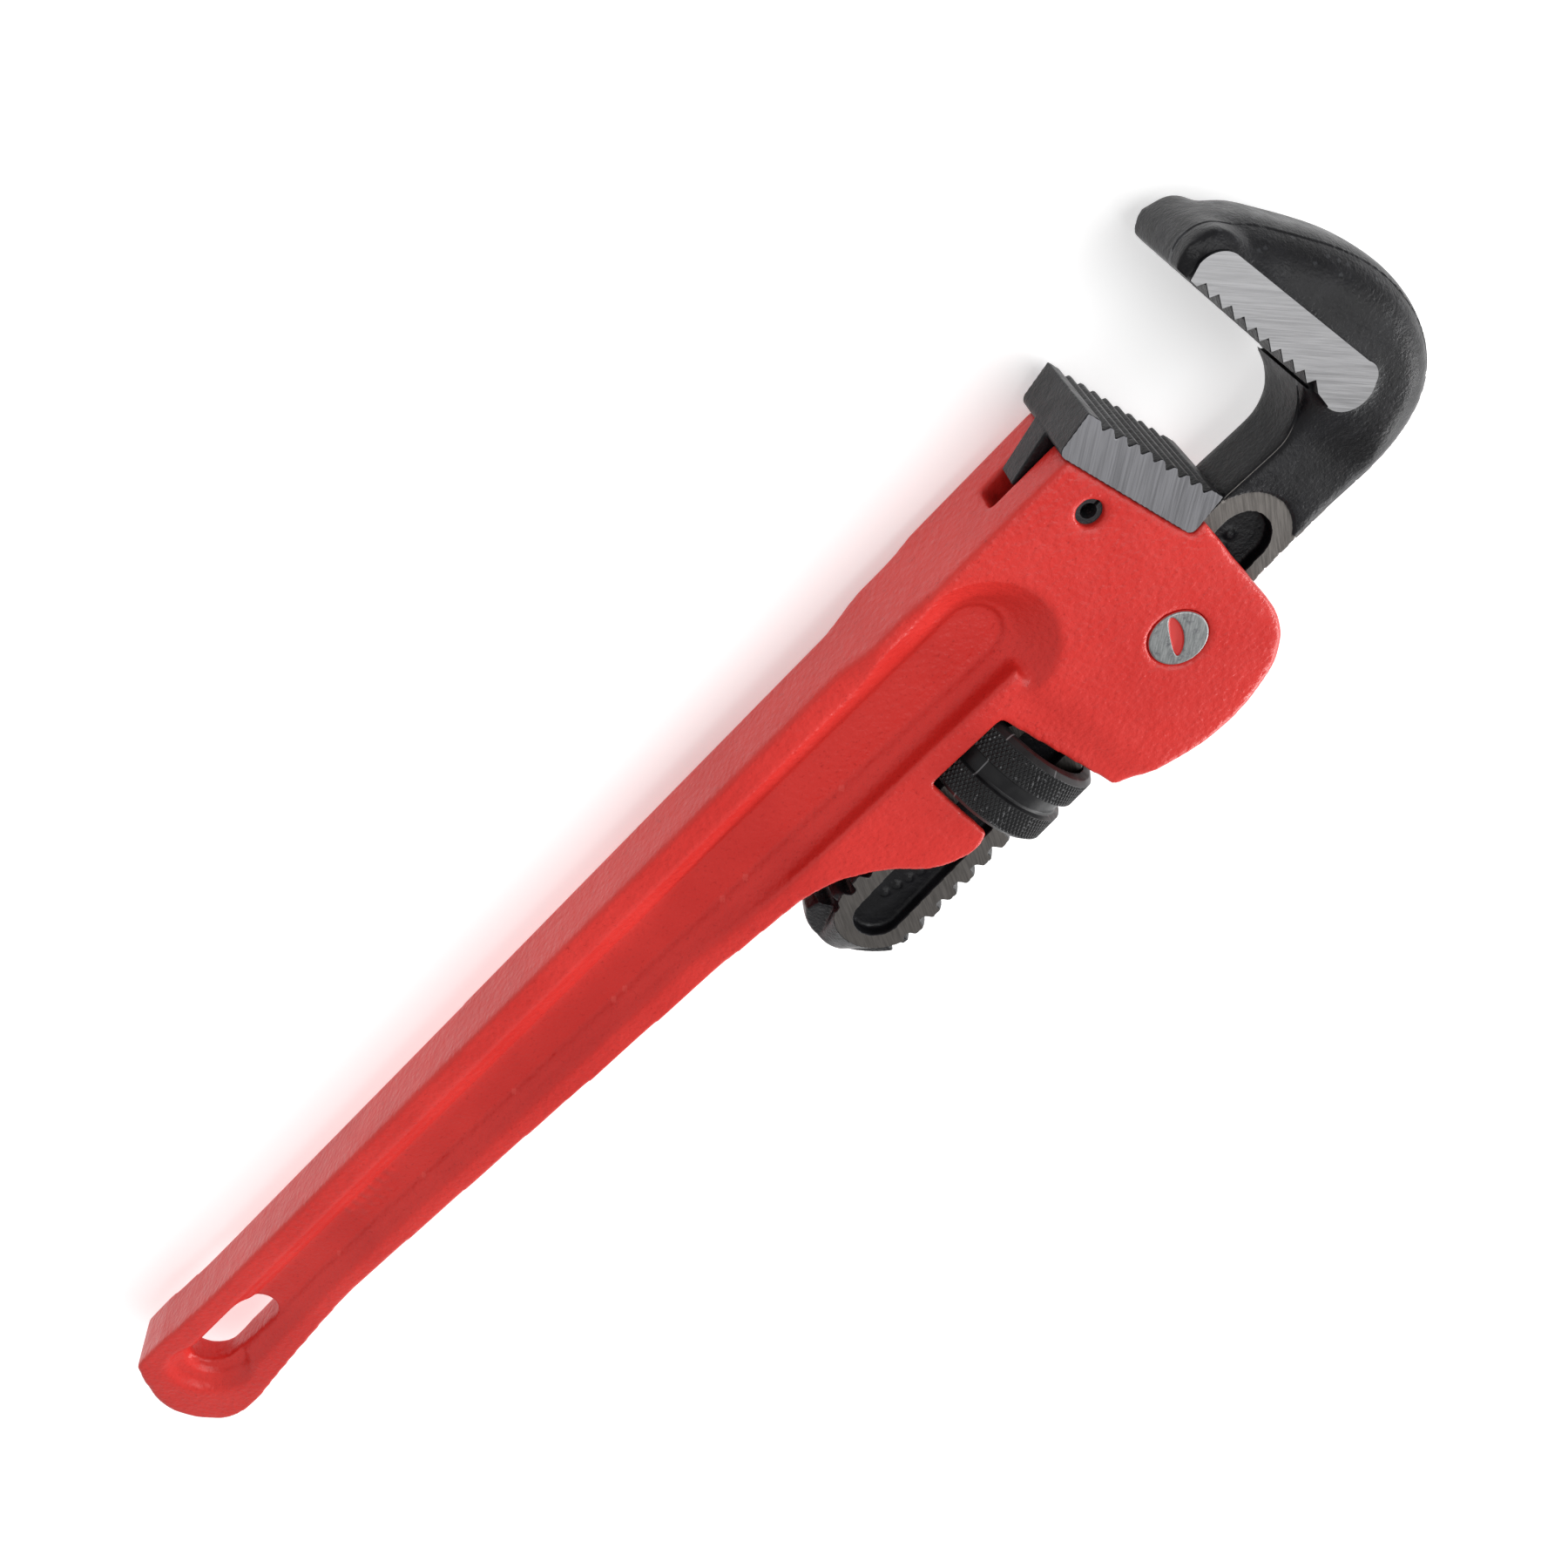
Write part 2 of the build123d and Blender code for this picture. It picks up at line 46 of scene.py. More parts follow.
MID = 0.0145                                  # middle plane of the wrench, m
JAW_FACE = 0.0109                             # the jaws' ground faces, from the middle plane
SHANK_FACE = 0.0062                           # the shank's ground faces, from the middle plane
PIN_FACE = 0.0103                             # the stop pins' faces, from the middle plane
NUT_RADIUS = 0.0145
NUT_HALF = 0.0077                             # half the nut's length
THREAD_PITCH = 0.005
nut_joint = joints["nut_spin"]
NUT = Vector(nut_joint["pos_m"])
ALONG = Vector(nut_joint["axis"]).normalized()    # up the shank
UP = Vector((0.0, 0.0, 1.0))
ACROSS = UP.cross(ALONG)
NUT_SHIFT = 0.001                             # the nut's middle, up the shank from its joint


# ---- materials --------------------------------------------------------------------------
class Nodes:
    """Short helper for building one material's node tree."""

    def __init__(self, name):
        self.material = bpy.data.materials.new(name)
        self.material.use_nodes = True
        self.tree = self.material.node_tree
        self.tree.nodes.clear()
        self.output = self.add("ShaderNodeOutputMaterial")
        self.shader = self.add("ShaderNodeBsdfPrincipled")
        self.link(self.shader.outputs[0], self.output.inputs[0])
        self.coords = self.add("ShaderNodeTexCoord").outputs["Object"]

    def add(self, kind, **values):
        node = self.tree.nodes.new(kind)
        for key, value in values.items():
            setattr(node, key, value)
        return node

    def link(self, a, b):
        self.tree.links.new(a, b)

    def put(self, value, socket):
        if isinstance(value, bpy.types.NodeSocket):
            self.link(value, socket)
        else:
            socket.default_value = value

    def stretched(self, times, turn):
        """Coordinates drawn out `times` over along a direction `turn` from +X."""
        node = self.add("ShaderNodeMapping", vector_type="TEXTURE")
        self.link(self.coords, node.inputs["Vector"])
        node.inputs["Scale"].default_value = (times, 1, 1)
        node.inputs["Rotation"].default_value = (0, 0, turn)
        return node.outputs[0]

    def noise(self, size_mm, detail=2.0, rough=0.5, vector=None):
        node = self.add("ShaderNodeTexNoise")
        self.link(vector or self.coords, node.inputs["Vector"])
        node.inputs["Scale"].default_value = 1000.0 / size_mm
        node.inputs["Detail"].default_value = detail
        node.inputs["Roughness"].default_value = rough
        return node.outputs["Fac"]

    def math(self, operation, a, b=0.0):
        node = self.add("ShaderNodeMath", operation=operation)
        self.put(a, node.inputs[0])
        self.put(b, node.inputs[1])
        return node.outputs[0]

    def ramp(self, value, low, high, out_low=0.0, out_high=1.0, smooth=True):
        node = self.add("ShaderNodeMapRange", interpolation_type="SMOOTHSTEP" if smooth else "LINEAR")
        self.put(value, node.inputs["Value"])
        node.inputs["From Min"].default_value = low
        node.inputs["From Max"].default_value = high
        node.inputs["To Min"].default_value = out_low
        node.inputs["To Max"].default_value = out_high
        return node.outputs[0]

    def mix(self, factor, a, b, kind="RGBA"):
        node = self.add("ShaderNodeMix", data_type=kind)
        self.put(factor, node.inputs["Factor"])
        self.put(a, node.inputs["A"])
        self.put(b, node.inputs["B"])
        return node.outputs["Result"]

    def bump(self, height, strength, distance_mm, normal=None):
        node = self.add("ShaderNodeBump")
        self.put(height, node.inputs["Height"])
        node.inputs["Strength"].default_value = strength
        node.inputs["Distance"].default_value = distance_mm / 1000.0
        if normal is not None:
            self.link(normal, node.inputs["Normal"])
        return node.outputs[0]

    def axis(self, name):
        node = self.add("ShaderNodeSeparateXYZ")
        self.link(self.coords, node.inputs[0])
        return node.outputs[name]

    def height_from_middle(self):
        return self.math("ABSOLUTE", self.math("SUBTRACT", self.axis("Z"), MID))

    def facing_up(self, low=0.9, high=0.98):
        node = self.add("ShaderNodeSeparateXYZ")
        geometry = self.add("ShaderNodeNewGeometry")
        transform = self.add("ShaderNodeVectorTransform", vector_type="NORMAL", convert_from="WORLD",
                             convert_to="OBJECT")
        self.link(geometry.outputs["Normal"], transform.inputs[0])
        self.link(transform.outputs[0], node.inputs[0])
        return self.ramp(self.math("ABSOLUTE", node.outputs["Z"]), low, high)

    # Mask of convex edges from the mesh's pointiness; the materials use it to paint highlights along
    # edges.
    def edges(self, low=0.52, high=0.6):
        geometry = self.add("ShaderNodeNewGeometry")
        return self.ramp(geometry.outputs["Pointiness"], low, high)

    def set(self, **values):
        names = {"color": "Base Color", "roughness": "Roughness", "metallic": "Metallic",
                 "normal": "Normal", "coat": "Coat Weight", "coat_roughness": "Coat Roughness",
                 "specular": "Specular IOR Level"}
        for key, value in values.items():
            self.put(value, self.shader.inputs[names[key]])
        return self.material


def red_enamel():
    """Glossy enamel over a sand casting: fine pebbly skin with darker specks at random, and a painted
    highlight (paler red) along convex edges.
    """
    m = Nodes("red_enamel")
    broad = m.noise(30, 3, 0.6)
    color = m.mix(m.ramp(broad, 0.35, 0.65), (0.540, 0.0230, 0.0185, 1), (0.600, 0.0300, 0.0240, 1))
    speck = m.noise(0.8, 3, 0.7)
    color = m.mix(m.ramp(speck, 0.56, 0.74), color, (0.44, 0.016, 0.013, 1))
    # Painted highlight: paler red along convex edges, standing in for the lamps' sheen on the rounded
    # rims.
    color = m.mix(m.math("MULTIPLY", m.edges(0.51, 0.58), 0.45), color, (0.70, 0.085, 0.070, 1))
    pebbles = m.add("ShaderNodeTexVoronoi", feature="SMOOTH_F1")
    m.link(m.coords, pebbles.inputs["Vector"])
    pebbles.inputs["Scale"].default_value = 1000 / 1.15
    pebbles.inputs["Smoothness"].default_value = 0.8
    waves = m.bump(m.noise(2.6, 3, 0.6), 0.6, 0.24)
    peel = m.bump(m.math("SUBTRACT", 1.0, pebbles.outputs["Distance"]), 0.6, 0.2, waves)
    grain = m.bump(m.noise(0.5, 2, 0.6), 0.8, 0.1, peel)
    roughness = m.ramp(m.noise(5, 3, 0.6), 0.3, 0.7, 0.28, 0.38)
    return m.set(color=color, roughness=roughness, normal=grain, specular=0.26, coat=0.05,
                 coat_roughness=0.15)


def black_forging(name, ground_faces):
    """Rough black forging. Each ground face is its height from the middle plane, its tint, and the
    direction and drawing-out of its brush strokes; flat faces there are bare brushed metal."""
    m = Nodes(name)
    base = m.mix(m.ramp(m.noise(7, 4, 0.6), 0.35, 0.7), (0.004, 0.004, 0.005, 1), (0.010, 0.010, 0.012, 1))
    # Painted highlight: lighter bluish grey along the forging's convex edges.
    base = m.mix(m.math("MULTIPLY", m.edges(0.53, 0.62), 0.5), base, (0.045, 0.047, 0.052, 1))
    cast = m.bump(m.noise(1.1, 4, 0.65), 0.8, 0.20)
    cast = m.bump(m.noise(0.5, 2, 0.6), 0.7, 0.1, cast)
    rough = m.ramp(m.noise(3, 3, 0.6), 0.3, 0.7, 0.32, 0.42)
    height = m.height_from_middle()
    flat = m.facing_up(0.93, 0.985)
    color, roughness, normal, metallic = base, rough, cast, 0.0
    for face, tint, turn, stroke in ground_faces:
        low, high, edge = face - 0.0001, face + 0.0001, 0.00006
        inside = m.math("MULTIPLY", m.ramp(height, low - edge, low, smooth=False),
                        m.ramp(height, high, high + edge, 1.0, 0.0, smooth=False))
        mask = m.math("MULTIPLY", inside, flat)
        strokes = m.noise(0.32, 3, 0.7, m.stretched(stroke, turn))
        steel = m.mix(m.ramp(strokes, 0.3, 0.7), tuple(0.86 * c for c in tint) + (1,),
                      tuple(1.14 * c for c in tint) + (1,))
        brushed = m.bump(strokes, 0.4, 0.03)
        color = m.mix(mask, color, steel)
        roughness = m.mix(mask, roughness, m.ramp(strokes, 0.3, 0.7, 0.34, 0.46), "FLOAT")
        normal = m.mix(mask, normal, brushed, "VECTOR")
        metallic = m.math("MAXIMUM", metallic, mask)
    return m.set(color=color, roughness=roughness, normal=normal, metallic=metallic, specular=0.22)


def nut_black():
    m = Nodes("nut_black")
    color = m.mix(m.ramp(m.noise(4, 3, 0.6), 0.3, 0.7), (0.007, 0.007, 0.008, 1), (0.015, 0.015, 0.016, 1))
    # Painted highlight: light grey on the knurl's crests and the nut's rims.
    color = m.mix(m.edges(0.53, 0.64), color, (0.14, 0.14, 0.145, 1))
    normal = m.bump(m.noise(0.5, 3, 0.6), 0.4, 0.04)
    return m.set(color=color, roughness=m.ramp(m.noise(2, 2), 0.3, 0.7, 0.34, 0.46), normal=normal,
                 specular=0.25)


def plain_steel(name, tint, roughness, turn=0.0):
    m = Nodes(name)
    strokes = m.noise(0.3, 3, 0.7, m.stretched(14, turn))
    color = m.mix(m.ramp(strokes, 0.3, 0.7), tuple(0.75 * c for c in tint) + (1,),
                  tuple(1.2 * c for c in tint) + (1,))
    color = m.mix(m.ramp(m.noise(1.6, 3, 0.6), 0.55, 0.75), color, tuple(0.6 * c for c in tint) + (1,))
    return m.set(color=color, metallic=1.0, normal=m.bump(strokes, 0.3, 0.015),
                 roughness=m.ramp(strokes, 0.3, 0.7, roughness - 0.05, roughness + 0.06))


def pin_head(name, level):
    """Ground steel at the level of the pin's face, red enamel on all below it."""
    m = Nodes(name)
    strokes = m.noise(0.35, 3, 0.7, m.stretched(8, math.radians(40)))
    blotches = m.noise(1.1, 3, 0.7)
    steel = m.mix(m.ramp(strokes, 0.3, 0.7), (0.17, 0.18, 0.18, 1), (0.30, 0.31, 0.31, 1))
    steel = m.mix(m.ramp(blotches, 0.5, 0.75), steel, (0.12, 0.12, 0.13, 1))
    top = m.ramp(m.height_from_middle(), level - 0.00022, level - 0.00012)
    color = m.mix(top, (0.55, 0.025, 0.02, 1), steel)
    return m.set(color=color, metallic=m.math("MULTIPLY", top, 0.75), roughness=0.42,
                 normal=m.bump(strokes, 0.35, 0.03))


paint = red_enamel()
hook_metal = black_forging("hook_black", [
    (JAW_FACE, (0.26, 0.26, 0.265), math.radians(-54), 40),
    (SHANK_FACE, (0.140, 0.130, 0.122), math.radians(60), 18)])
heel_metal = black_forging("heel_black", [(JAW_FACE, (0.18, 0.18, 0.19), math.radians(37), 40)])
nut_metal = nut_black()
head_metal = pin_head("pin_head", PIN_FACE)
spring_metal = plain_steel("spring_steel", (0.30, 0.31, 0.33), 0.35)


# ---- meshes -----------------------------------------------------------------------------
def edge_list(mesh):
    pairs = np.empty(len(mesh.edges) * 2, np.int64)
    mesh.edges.foreach_get("vertices", pairs)
    return pairs.reshape(-1, 2)


def points_of(mesh):
    places = np.empty(len(mesh.vertices) * 3)
    mesh.vertices.foreach_get("co", places)
    return places.reshape(-1, 3)


def put_points(mesh, places):
    mesh.vertices.foreach_set("co", places.astype(np.float32).ravel())
    mesh.update()


def smoothed(places, pairs, passes, weight=None):
    """Moves each point towards the middle of its neighbours, `passes` times."""
    count = np.bincount(pairs.ravel(), minlength=len(places))[:, None]
    keep = 0.5 if weight is None else 0.5 * weight[:, None]
    for _ in range(passes):
        total = np.zeros_like(places)
        for axis in range(3):
            total[:, axis] = (np.bincount(pairs[:, 0], places[pairs[:, 1], axis], len(places))
                              + np.bincount(pairs[:, 1], places[pairs[:, 0], axis], len(places)))
        places = places + keep * (total / np.maximum(count, 1) - places)
    return places


def softened(node, voxel, passes, ground=(), weight=None):
    """Copy of a CAD node with its edges rounded as a casting's are, but its ground planes kept flat."""
    copy = bpy.data.objects.new(node + "_cast", nodes[node].data.copy())
    bpy.context.scene.collection.objects.link(copy)
    copy.data.materials.clear()
    remesh = copy.modifiers.new("remesh", "REMESH")
    remesh.mode = "VOXEL"
    remesh.voxel_size = voxel
    bpy.context.view_layer.update()
    mesh = bpy.data.meshes.new_from_object(copy.evaluated_get(bpy.context.evaluated_depsgraph_get()))
    copy.modifiers.clear()
    old = copy.data
    copy.data = mesh
    bpy.data.meshes.remove(old)
    mesh.name = node + "_cast"
    before = points_of(mesh)
    places = smoothed(before, edge_list(mesh), passes, None if weight is None else weight(before))
    for plane in ground:
        for side in (1, -1):
            level = MID + side * plane
            near = np.abs(before[:, 2] - level) < voxel * 0.55
            places[near, 2] = level
    put_points(mesh, places)
    mesh.polygons.foreach_set("use_smooth", np.ones(len(mesh.polygons), bool))
    return copy


def finished(piece, material, body, slot, *replaced):
    piece.data.materials.clear()
    piece.data.materials.append(material)
    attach(piece, body)
    if replaced:
        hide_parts(*replaced)
    return piece


def rise(value, low, high):
    t = np.clip((value - low) / (high - low), 0, 1)
    return t * t * (3 - 2 * t)


def housing_rounding(places):
    """1 along the housing's outer rim, half in the recess walls, small over the rest of the handle."""
    x, y = places[:, 0], places[:, 1]
    front = rise(-y, 0.0255, 0.0300) * rise(x, 0.0900, 0.0930)
    right = rise(x, 0.1265, 0.1295) * rise(-y, 0.0050, 0.0090)
    height = np.abs(places[:, 2] - MID)
    recess = rise(height, 0.0036, 0.0046) * rise(y, -0.0010, 0.0010) * rise(-y, -0.0215, -0.0195)
    recess *= rise(-x, -0.1000, -0.0970)
    return 0.2 + 0.8 * np.maximum(np.maximum(front, right), 0.5 * recess)


handle = softened("handle_housing", 0.0005, 24, (), housing_rounding)
finished(handle, paint, "handle", "handle_paint", "handle_housing")


def hook_rounding(places):
    """1 where the forging is well rounded, small at its teeth, threads and grooves."""
    offset = places - np.array(NUT)
    along, across = offset @ np.array(ALONG), offset @ np.array(ACROSS)
    soft = rise(along, 0.051, 0.055)
    teeth = (1 - rise(along, 0.0835, 0.0855)) * rise(along, 0.0765, 0.0785) * rise(across, 0.011, 0.013)
    groove = (1 - rise(along, 0.0625, 0.064)) * (1 - rise(np.abs(across), 0.0052, 0.0062))
    return 0.05 + 0.95 * soft * (1 - teeth) * (1 - groove)


hook = softened("hook_jaw", 0.0003, 80, (SHANK_FACE,),
                hook_rounding)
finished(hook, hook_metal, "hook_jaw", "jaw_black", "hook_jaw")



def arc(start, middle, end, steps):
    """Points along the circle through three places, the last one left out."""
    (ax, ay), (bx, by), (cx, cy) = start, middle, end
    d = 2 * (ax * (by - cy) + bx * (cy - ay) + cx * (ay - by))
    a2, b2, c2 = ax * ax + ay * ay, bx * bx + by * by, cx * cx + cy * cy
    ox = (a2 * (by - cy) + b2 * (cy - ay) + c2 * (ay - by)) / d
    oy = (a2 * (cx - bx) + b2 * (ax - cx) + c2 * (bx - ax)) / d
    first, last = math.atan2(ay - oy, ax - ox), math.atan2(cy - oy, cx - ox)
    through = math.atan2(by - oy, bx - ox)
    turn = (last - first) % (2 * math.pi)
    if (through - first) % (2 * math.pi) > turn:
        turn -= 2 * math.pi
    radius = math.hypot(ax - ox, ay - oy)
    angles = [first + turn * k / steps for k in range(steps)]
    return [(ox + radius * math.cos(angle), oy + radius * math.sin(angle)) for angle in angles]


def hook_pads():
    """Ground bar along the hook's teeth, standing a little proud of the forging on both sides."""
    outline = [(80.4, 41.0)]
    for n in range(10):
        outline += [(80.35, 39.6 - 2.75 * n), (81.5, 38.775 - 2.75 * n)]
    outline += [(80.3, 12.1), (79.9, 9.3)]
    outline += arc((79.7, 9.2), (82.55, 5.05), (86.8, 5.75), 16)
    outline += arc((86.8, 5.75), (88.35, 7.35), (88.05, 10.0), 8)
    outline += arc((87.05, 38.05), (85.5, 40.75), (82.3, 41.65), 10)
    outline = np.array(outline) / 1000
    after, before = np.roll(outline, -1, 0) - outline, outline - np.roll(outline, 1, 0)
    after /= np.linalg.norm(after, axis=1)[:, None]
    before /= np.linalg.norm(before, axis=1)[:, None]
    inward = np.column_stack([-(after + before)[:, 1], (after + before)[:, 0]])
    inward /= np.linalg.norm(inward, axis=1)[:, None]
    middle = outline.mean(0)
    if ((middle - outline) * inward).sum() < 0:
        inward = -inward
    rings = []
    top, bevel = JAW_FACE + 0.00002, 0.00012
    for height, inset in ((-top, bevel), (bevel - top, 0.0), (top - bevel, 0.0), (top, bevel)):
        flat = outline + inset * inward
        rings.append(np.array(NUT) + flat[:, :1] * np.array(ALONG) + flat[:, 1:] * np.array(ACROSS)
                     + height * np.array(UP))
    count = len(outline)
    points = np.vstack(rings)
    faces = [tuple(range(count)), tuple(range(4 * count - 1, 3 * count - 1, -1))]
    for row in range(3):
        for k in range(count):
            nxt = (k + 1) % count
            a, b = row * count, (row + 1) * count
            faces.append((a + k, b + k, b + nxt, a + nxt))
    mesh = bpy.data.meshes.new("hook_pads")
    mesh.from_pydata(points.tolist(), [], faces)
    mesh.update()
    piece = bpy.data.objects.new("hook_pads", mesh)
    bpy.context.scene.collection.objects.link(piece)
    return piece


finished(hook_pads(), hook_metal, "hook_jaw", "jaw_black")

heel = softened("heel_jaw", 0.0002, 3, (JAW_FACE,))
finished(heel, heel_metal, "handle", "jaw_black", "heel_jaw")


# ---- knurled nut ------------------------------------------------------------------------
def grid_mesh(name, places, closed_u, closed_v):
    """Mesh from a (rows, columns, 3) grid of points."""
    rows, columns = places.shape[:2]
    index = np.arange(rows * columns).reshape(rows, columns)
    if closed_u:
        index = np.vstack([index, index[:1]])
    if closed_v:
        index = np.hstack([index, index[:, :1]])
    quads = np.stack([index[:-1, :-1], index[1:, :-1], index[1:, 1:], index[:-1, 1:]], -1).reshape(-1, 4)
    mesh = bpy.data.meshes.new(name)
    mesh.from_pydata(places.reshape(-1, 3).tolist(), [], quads.tolist())
    mesh.update()
    piece = bpy.data.objects.new(name, mesh)
    bpy.context.scene.collection.objects.link(piece)
    mesh.polygons.foreach_set("use_smooth", np.ones(len(mesh.polygons), bool))
    return piece


def knurled_nut():
    """Outer profile with two diamond-knurled rings, and the inner thread, as one closed skin."""
    half, bore, lip = NUT_HALF, 0.0118, 0.0134
    ring_end, ring_start = 0.0068, 0.0019
    around = 1008
    step = 0.00011
    right = [(0.0013, 0.0131), (0.0017, 0.0134), (ring_start, NUT_RADIUS), (ring_end, NUT_RADIUS),
             (half, NUT_RADIUS - 0.001)]
    outer = [(-along, radius) for along, radius in right[::-1]] + right
    u, r, kind = [], [], []
    for (u0, r0), (u1, r1) in zip(outer, outer[1:]):
        n = max(2, int(math.hypot(u1 - u0, r1 - r0) / step))
        for k in range(n):
            u.append(u0 + (u1 - u0) * k / n)
            r.append(r0 + (r1 - r0) * k / n)
            kind.append(1.0 if r[-1] > NUT_RADIUS - 0.00001 else 0.0)
    for k in range(8):
        u.append(half)
        r.append(lip + (bore - lip) * k / 8)
        kind.append(0.0)
    inner = 110
    for k in range(inner):
        u.append(half - 2 * half * k / inner)
        r.append(bore)
        kind.append(-1.0)
    for k in range(8):
        u.append(-half)
        r.append(bore + (lip - bore) * k / 8)
        kind.append(0.0)
    u, r, kind = (np.array(a)[:, None] for a in (u, r, kind))
    angle = np.linspace(0, 2 * math.pi, around, endpoint=False)[None, :]
    # Knurl: two crossing sets of grooves at 30 degrees to the nut's axis.
    count = 104
    lean = count / NUT_RADIUS * math.tan(math.radians(30)) * u
    ridge_a = np.abs(((angle * count + lean) / (2 * math.pi)) % 1.0 - 0.5) * 2
    ridge_b = np.abs(((angle * count - lean) / (2 * math.pi)) % 1.0 - 0.5) * 2
    valley = np.minimum(1.0, 2.2 * np.minimum(ridge_a, ridge_b))
    fade = 0.0003
    inset = (0.00034 * (1 - valley) * np.minimum(1.0, (ring_end - np.abs(u)) / fade)
             * np.minimum(1.0, (np.abs(u) - ring_start) / fade))
    radius = r - np.where(kind > 0, np.maximum(inset, 0), 0)
    # Inner thread, one turn in 5 mm, crests meeting the shank's valleys.
    place = (u + NUT_SHIFT) / THREAD_PITCH - 0.75 - angle / (2 * math.pi)
    away = np.abs(place - np.round(place)) * THREAD_PITCH
    ridge = np.clip((0.0008 - away) / 0.00025, 0, 1)
    ridge = ridge * np.clip((half - np.abs(u)) / fade, 0, 1)
    radius = radius - np.where(kind < 0, 0.00145 * ridge, 0)
    along, across, up = (np.array(a)[None, None, :] for a in (ALONG, ACROSS, UP))
    points = (np.array(NUT)[None, None, :] + along * (u + NUT_SHIFT + 0 * angle)[..., None]
              + across * (radius * np.cos(angle))[..., None] + up * (radius * np.sin(angle))[..., None])
    return grid_mesh("nut_knurled", points, True, True)


nut = knurled_nut()
finished(nut, nut_metal, "nut", "nut_black", "adjusting_nut")


# ---- stop pins ---------------------------------------------------------------------------
def skin(name, rings):
    """Closed skin over a stack of rings of points, each end drawn together to its middle."""
    count = len(rings[0])
    points = np.vstack([rings[0].mean(0)] + list(rings) + [rings[-1].mean(0)])
    faces = []
    for k in range(count):
        nxt = (k + 1) % count
        faces.append((0, 1 + k, 1 + nxt))
        for row in range(len(rings) - 1):
            a, b = 1 + row * count, 1 + (row + 1) * count
            faces.append((a + k, b + k, b + nxt, a + nxt))
        last = 1 + (len(rings) - 1) * count
        faces.append((len(points) - 1, last + nxt, last + k))
    mesh = bpy.data.meshes.new(name)
    mesh.from_pydata(points.tolist(), [], faces)
    mesh.update()
    piece = bpy.data.objects.new(name, mesh)
    bpy.context.scene.collection.objects.link(piece)
    return piece


def stop_pin(node, side):
    """Pressed pin with a leaf-shaped dent in its ground face, and its nose below."""
    corners = np.array([tuple(nodes[node].matrix_world @ Vector(c)) for c in nodes[node].bound_box])
    low, high = corners.min(0), corners.max(0)
    centre, radius = (low + high)[:2] / 2, (high[0] - low[0]) / 2
    face, step = PIN_FACE, 0.00006
    angle = np.linspace(0, 2 * math.pi, 120, endpoint=False)
    round_way = np.stack([np.cos(angle), np.sin(angle)], 1)
    leaf_way = np.array([0.487, 0.873])
    leaf_across = np.array([0.873, -0.487])

    def ring(r, z, shift=0.0, dented=False):
        flat = r * round_way
        height = np.full(len(angle), z)
        if dented:
            offset = flat - np.array([-0.00025, 0.0008])
            a, b = offset @ leaf_way / 0.004, offset @ leaf_across
            swell = np.sqrt(np.clip(1 - a * a, 0, 1))
            inside = 0.00125 * swell - np.abs(b - 0.0004 * swell * swell)
            height = height - 0.0005 * rise(inside, -0.00002, 0.00030)
        return np.column_stack([centre[0] + flat[:, 0], centre[1] + shift + flat[:, 1],
                                MID + side * height])

    rings = [ring(step * k, face, 0.0, True) for k in range(1, int((radius - 0.0003) / step))]
    rings += [ring(radius - 0.0002, face - 0.00003), ring(radius - 0.00005, face - 0.0002)]
    rings += [ring(radius, face - 0.0004), ring(radius, 0.0073), ring(0.0034, 0.0073)]
    nose, aside = 0.0029, 0.0012
    rings += [ring(nose, 0.00725, aside), ring(nose, 0.0044, aside), ring(nose - 0.0002, 0.0042, aside)]
    piece = skin(node + "_pressed", rings if side > 0 else [r[::-1] for r in rings])
    piece.data.polygons.foreach_set("use_smooth", np.ones(len(piece.data.polygons), bool))
    return finished(piece, head_metal, "handle", "pin_steel", node)


stop_pin("stop_pin_upper", 1)
stop_pin("stop_pin_lower", -1)

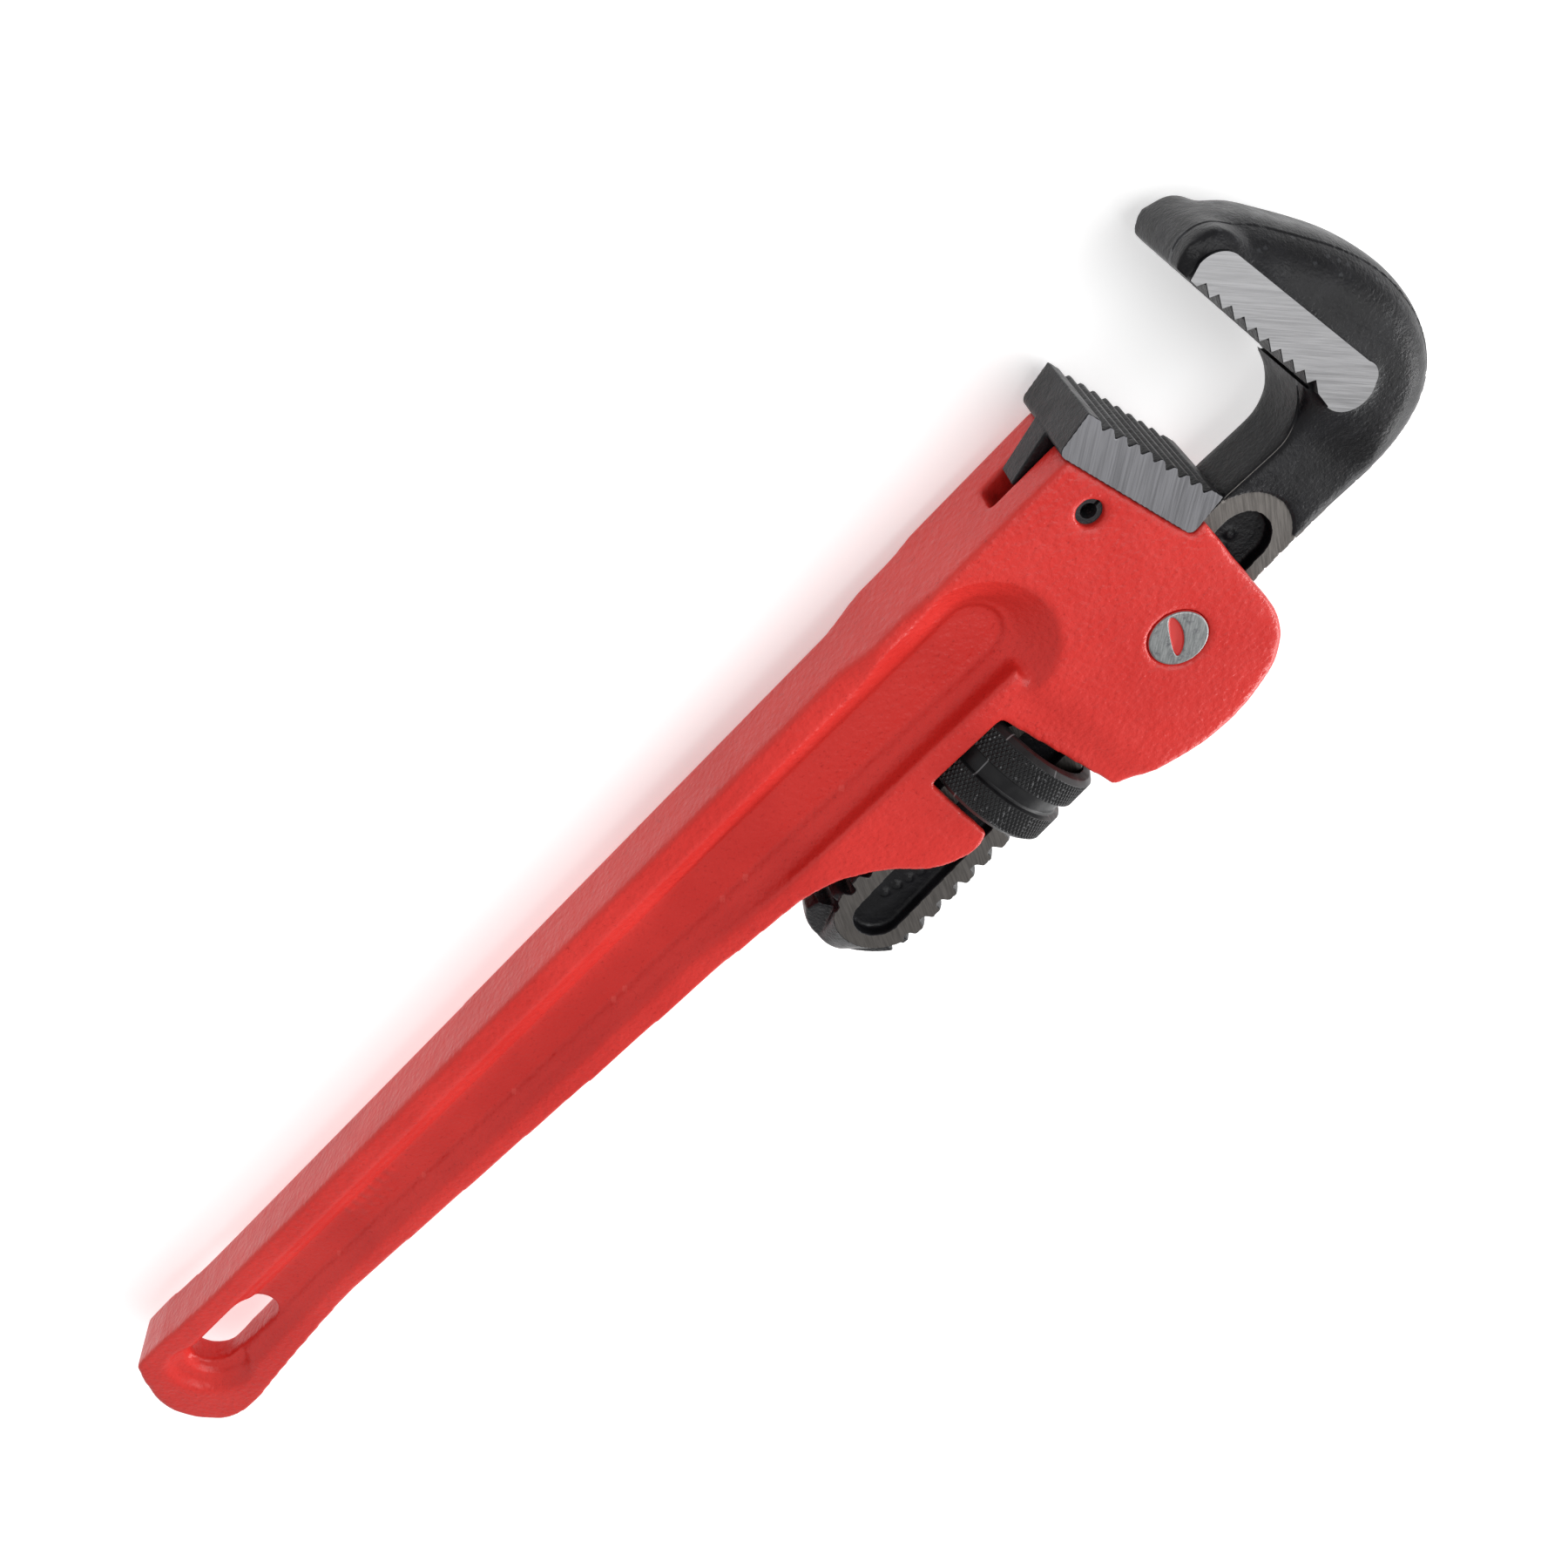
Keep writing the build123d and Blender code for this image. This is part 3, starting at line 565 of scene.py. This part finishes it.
for name, material in (("heel_jaw_pin", hook_metal), ("flat_spring", spring_metal),
                       ("coil_spring", spring_metal), ("spring_rivet", spring_metal)):
    for place in nodes[name].material_slots:
        place.material = material

# ---- camera, floor and lights -----------------------------------------------------------
scene = bpy.context.scene
camera_data = bpy.data.cameras.new("camera")
camera_data.sensor_width = 36.0
camera_data.sensor_fit = "HORIZONTAL"
camera_data.lens = 31.941
camera_data.clip_start = 0.01
camera_data.dof.use_dof = False
camera = bpy.data.objects.new("camera", camera_data)
camera.location = (0.144269, 0.133217, 0.215005)
camera.rotation_euler = Euler((-0.640508, -0.128256, -0.837607))
scene.collection.objects.link(camera)
scene.camera = camera

floor_mesh = bpy.data.meshes.new("floor")
floor_mesh.from_pydata([(-4, -4, 0), (4, -4, 0), (4, 4, 0), (-4, 4, 0)], [], [(0, 1, 2, 3)])
floor = bpy.data.objects.new("floor", floor_mesh)
floor.location.z = -0.0002
scene.collection.objects.link(floor)
m = Nodes("floor_pale")
floor_mesh.materials.append(m.set(color=(0.93, 0.93, 0.93, 1), roughness=0.9, specular=0.1))
m.shader.inputs["Emission Color"].default_value = (1, 1, 1, 1)
m.shader.inputs["Emission Strength"].default_value = 0.35

world = bpy.data.worlds.new("studio")
world.use_nodes = True
world.node_tree.nodes["Background"].inputs["Color"].default_value = (1.0, 1.0, 1.0, 1)
world.node_tree.nodes["Background"].inputs["Strength"].default_value = 0.5
scene.world = world


def soft_light(name, place, aim, size, power, color=(1, 1, 1)):
    data = bpy.data.lights.new(name, "AREA")
    data.shape = "RECTANGLE"
    data.size, data.size_y = size
    data.energy = power
    data.color = color
    light = bpy.data.objects.new(name, data)
    light.location = place
    light.rotation_euler = (Vector(aim) - Vector(place)).to_track_quat("-Z", "Y").to_euler()
    scene.collection.objects.link(light)


soft_light("key", (0.5, -0.2, 1.2), (0.05, 0, 0), (0.9, 0.9), 8.5)
soft_light("side", (0.45, -1.05, 0.34), (0.06, 0, 0.01), (1.3, 0.12), 12)
soft_light("fill", (-0.7, 0.7, 0.9), (0, 0, 0), (1.2, 1.2), 1.5)
scene.view_settings.view_transform = "Standard"
scene.view_settings.look = "None"
